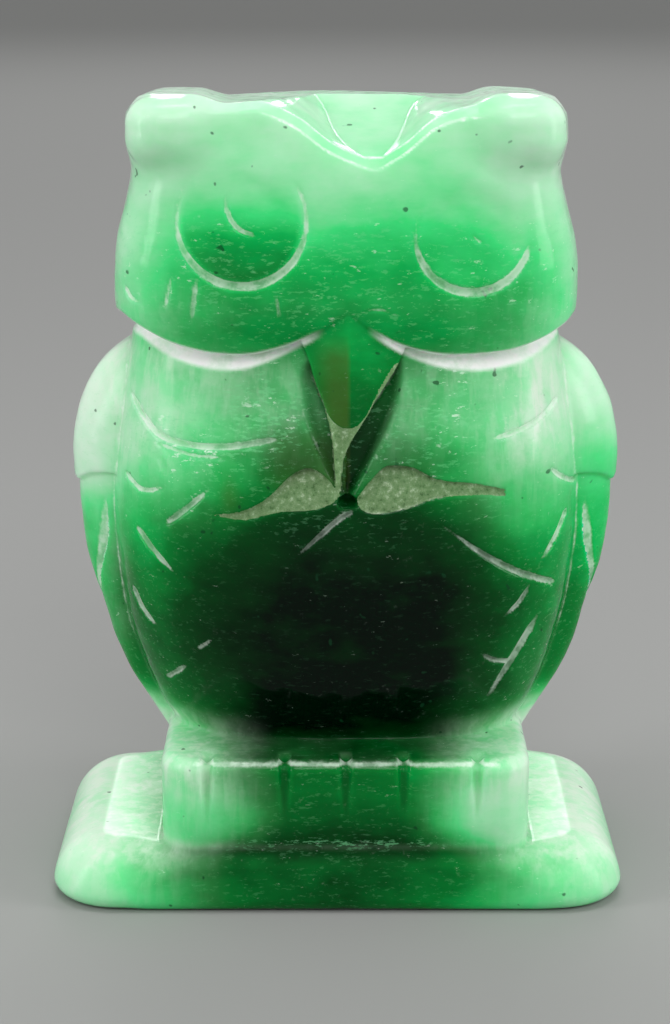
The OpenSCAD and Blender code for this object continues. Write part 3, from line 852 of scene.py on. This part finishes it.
def green_stone():
    """Polished translucent quartz: pale where thin, nearly black where thick, with painted light, shade,
    highlights and reflections over that, and with flecks inside.
    """
    material = bpy.data.materials.new("green_stone")
    material.use_nodes = True
    tree = material.node_tree
    shader = tree.nodes["Principled BSDF"]
    at = Wire(tree, None)

    def stored(name):
        return at.out(at.node("ShaderNodeAttribute", {"attribute_name": name}), "Fac")

    place = at.out(at.node("ShaderNodeTexCoord"), "Object")

    def noise(scale, detail=2.0, rough=0.5, stretch=(1, 1, 1)):
        spread = at.out(at.node("ShaderNodeMapping", Vector=place, Scale=stretch))
        made = at.node("ShaderNodeTexNoise", Vector=spread, Scale=scale, Detail=detail, Roughness=rough)
        return at.out(made, "Fac")

    # The stone itself: its depth of colour, clouded, with haze just under the polish. The depth carries
    # painted light and shade too, and the haze a painted sheen.
    depth = stored("depth")
    haze = stored("haze")
    cloud = noise(160, 3)
    wisp = noise(420, 3, 0.6, (1, 1, 2.2))
    shade = depth + (cloud - 0.5) * 0.28 + (wisp - 0.5) * 0.12
    body = at.out(at.node("ShaderNodeValToRGB", {"stops": PALE_TO_DARK}, Fac=shade))
    drawn = noise(900, 3, 0.6, (1.5, 1.5, 0.22)).within(0.44, 0.62)
    # The milky colour is partly a painted sheen and rim light.
    milky_and_sheen = haze * (0.20 + 0.26 * noise(300, 6, 0.65).within(0.36, 0.66) + 0.14 * drawn)
    body = body.blend(MILK_AND_SHEEN, milky_and_sheen)

    # What lies in it: glitter, short bright dashes, the olive stain and dark specks.
    flecks = stored("flecks")
    fleck = noise(2300, 4, 0.7, (0.55, 1, 1.4)) + 0.08 * flecks
    dashes = fleck.within(0.67, 0.72) * (0.1 + 0.9 * noise(420, 2).within(0.38, 0.56))
    glitter = noise(3000, 3, 0.7, (0.5, 1, 1.5)) + 0.07 * flecks
    body = body.blend(GLITTER, glitter.within(0.585, 0.68) * flecks * 0.55)
    body = body.blend(FLECK, dashes * (0.18 + 0.55 * flecks))
    body = body.blend(OLIVE, stored("olive") * (0.35 + 0.35 * cloud))
    body = body.blend(SPECK, noise(1300, 1, 0.5).within(0.745, 0.79) * 0.7)

    # What the wheel left: sawn leaves, partly a painted reflection; the pale lip under the head, a painted
    # highlight; and frosted cuts, with painted highlights along the brow's bevel and the ledge's edge.
    ragged = noise(1400, 3, 0.7) - 0.5
    # The grey-green on the leaf shaped flats and the beak's flat is partly their sawn finish and partly a
    # painted reflection.
    leaf = (stored("leaf") + 0.5 * ragged).within(0.42, 0.58)
    sawn_and_reflected = at.out(at.node("ShaderNodeValToRGB", {"stops": SAWN_AND_REFLECTED}, Fac=noise(2600, 5, 0.75)))
    body = body.blend(sawn_and_reflected, leaf * 0.92)
    # Painted highlight on the hollow under the head.
    body = body.blend(LIP_HIGHLIGHT, stored("lip") * (0.75 + 0.25 * noise(520, 4, 0.7).within(0.36, 0.6)))
    frost = (stored("frost") + 0.95 * ragged).within(0.12, 0.66)
    scratchy = 0.4 + 0.6 * noise(900, 3, 0.7).within(0.36, 0.6)
    body = body.blend(FROST_AND_HIGHLIGHT, frost * (1 - 0.65 * depth) * scratchy)
    tree.links.new(body.socket, shader.inputs["Base Color"])

    rough = 0.09 + frost * 0.32 + leaf * 0.10 + dashes * 0.1 + haze * 0.06
    tree.links.new(rough.socket, shader.inputs["Roughness"])
    grain = noise(2600, 3, 0.6) * 0.4 + noise(700, 2) * 0.6
    dent = at.node("ShaderNodeBump", Strength=0.10, Distance=0.06 * MM, Height=grain)
    tree.links.new(dent.outputs[0], shader.inputs["Normal"])
    shader.inputs["IOR"].default_value = 1.5
    shader.inputs["Specular IOR Level"].default_value = 0.13
    shader.inputs["Subsurface Weight"].default_value = 0.85
    shader.inputs["Subsurface Radius"].default_value = (0.75, 1.0, 0.85)
    shader.inputs["Subsurface Scale"].default_value = 1.6 * MM
    return material


def floor_finish():
    """Plain pale grey, without gloss."""
    material = bpy.data.materials.new("floor")
    material.use_nodes = True
    shader = material.node_tree.nodes["Principled BSDF"]
    shader.inputs["Base Color"].default_value = (0.30, 0.30, 0.295, 1)
    shader.inputs["Roughness"].default_value = 0.8
    return material


# ---- Stage, lights and camera ---------------------------------------------------------------

def floor():
    """A wide sheet that the owl stands on."""
    reach = 3.0
    corners = [(-reach, -reach, 0), (reach, -reach, 0), (reach, reach, 0), (-reach, reach, 0)]
    mesh = bpy.data.meshes.new("floor")
    mesh.from_pydata(corners, [], [(0, 1, 2, 3)])
    mesh.materials.append(floor_finish())
    piece = bpy.data.objects.new("floor", mesh)
    bpy.context.scene.collection.objects.link(piece)


def softbox(name, place, width, height, watts):
    """A flat rectangular light at a place, turned to face the middle of the owl."""
    light = bpy.data.lights.new(name, "AREA")
    light.shape = "RECTANGLE"
    light.size = width
    light.size_y = height
    light.energy = watts
    piece = bpy.data.objects.new(name, light)
    piece.location = place
    aim = Vector((0, 0, 0.025)) - Vector(place)
    piece.rotation_euler = aim.to_track_quat("-Z", "Y").to_euler()
    bpy.context.scene.collection.objects.link(piece)


def lights():
    """Two tall strips behind, a wall of light on each side, a soft front and ceiling, and a pale sky."""
    softbox("ceiling", (0, -0.03, 0.33), 0.15, 0.06, 0.26)
    softbox("left_strip", (-0.085, 0.62, 0.46), 0.036, 0.50, 0.5)
    softbox("right_strip", (0.085, 0.62, 0.46), 0.036, 0.50, 0.5)
    softbox("left_wall", (-0.30, -0.10, 0.11), 0.08, 0.26, 0.45)
    softbox("right_wall", (0.30, -0.08, 0.11), 0.08, 0.26, 0.45)
    softbox("front", (0.08, -0.44, 0.38), 0.26, 0.18, 1.0)
    world = bpy.data.worlds.new("studio")
    world.use_nodes = True
    sky = world.node_tree.nodes["Background"]
    sky.inputs["Color"].default_value = (0.86, 0.87, 0.86, 1)
    sky.inputs["Strength"].default_value = 0.55
    bpy.context.scene.world = world
    bpy.context.scene.view_settings.view_transform = "Standard"


def camera():
    """Low and close, looking a little down on the owl."""
    lens = bpy.data.cameras.new("camera")
    lens.lens = 85.4
    tilt_down = 14.55
    piece = bpy.data.objects.new("camera", lens)
    piece.location = (-0.15 * MM, -150 * MM, 62 * MM)
    piece.rotation_euler = (math.radians(90 - tilt_down), 0, 0)
    bpy.context.scene.collection.objects.link(piece)
    bpy.context.scene.camera = piece


camera()
floor()
lights()
owl = carve_owl()
owl.data.materials.append(green_stone())
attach(owl, "root")
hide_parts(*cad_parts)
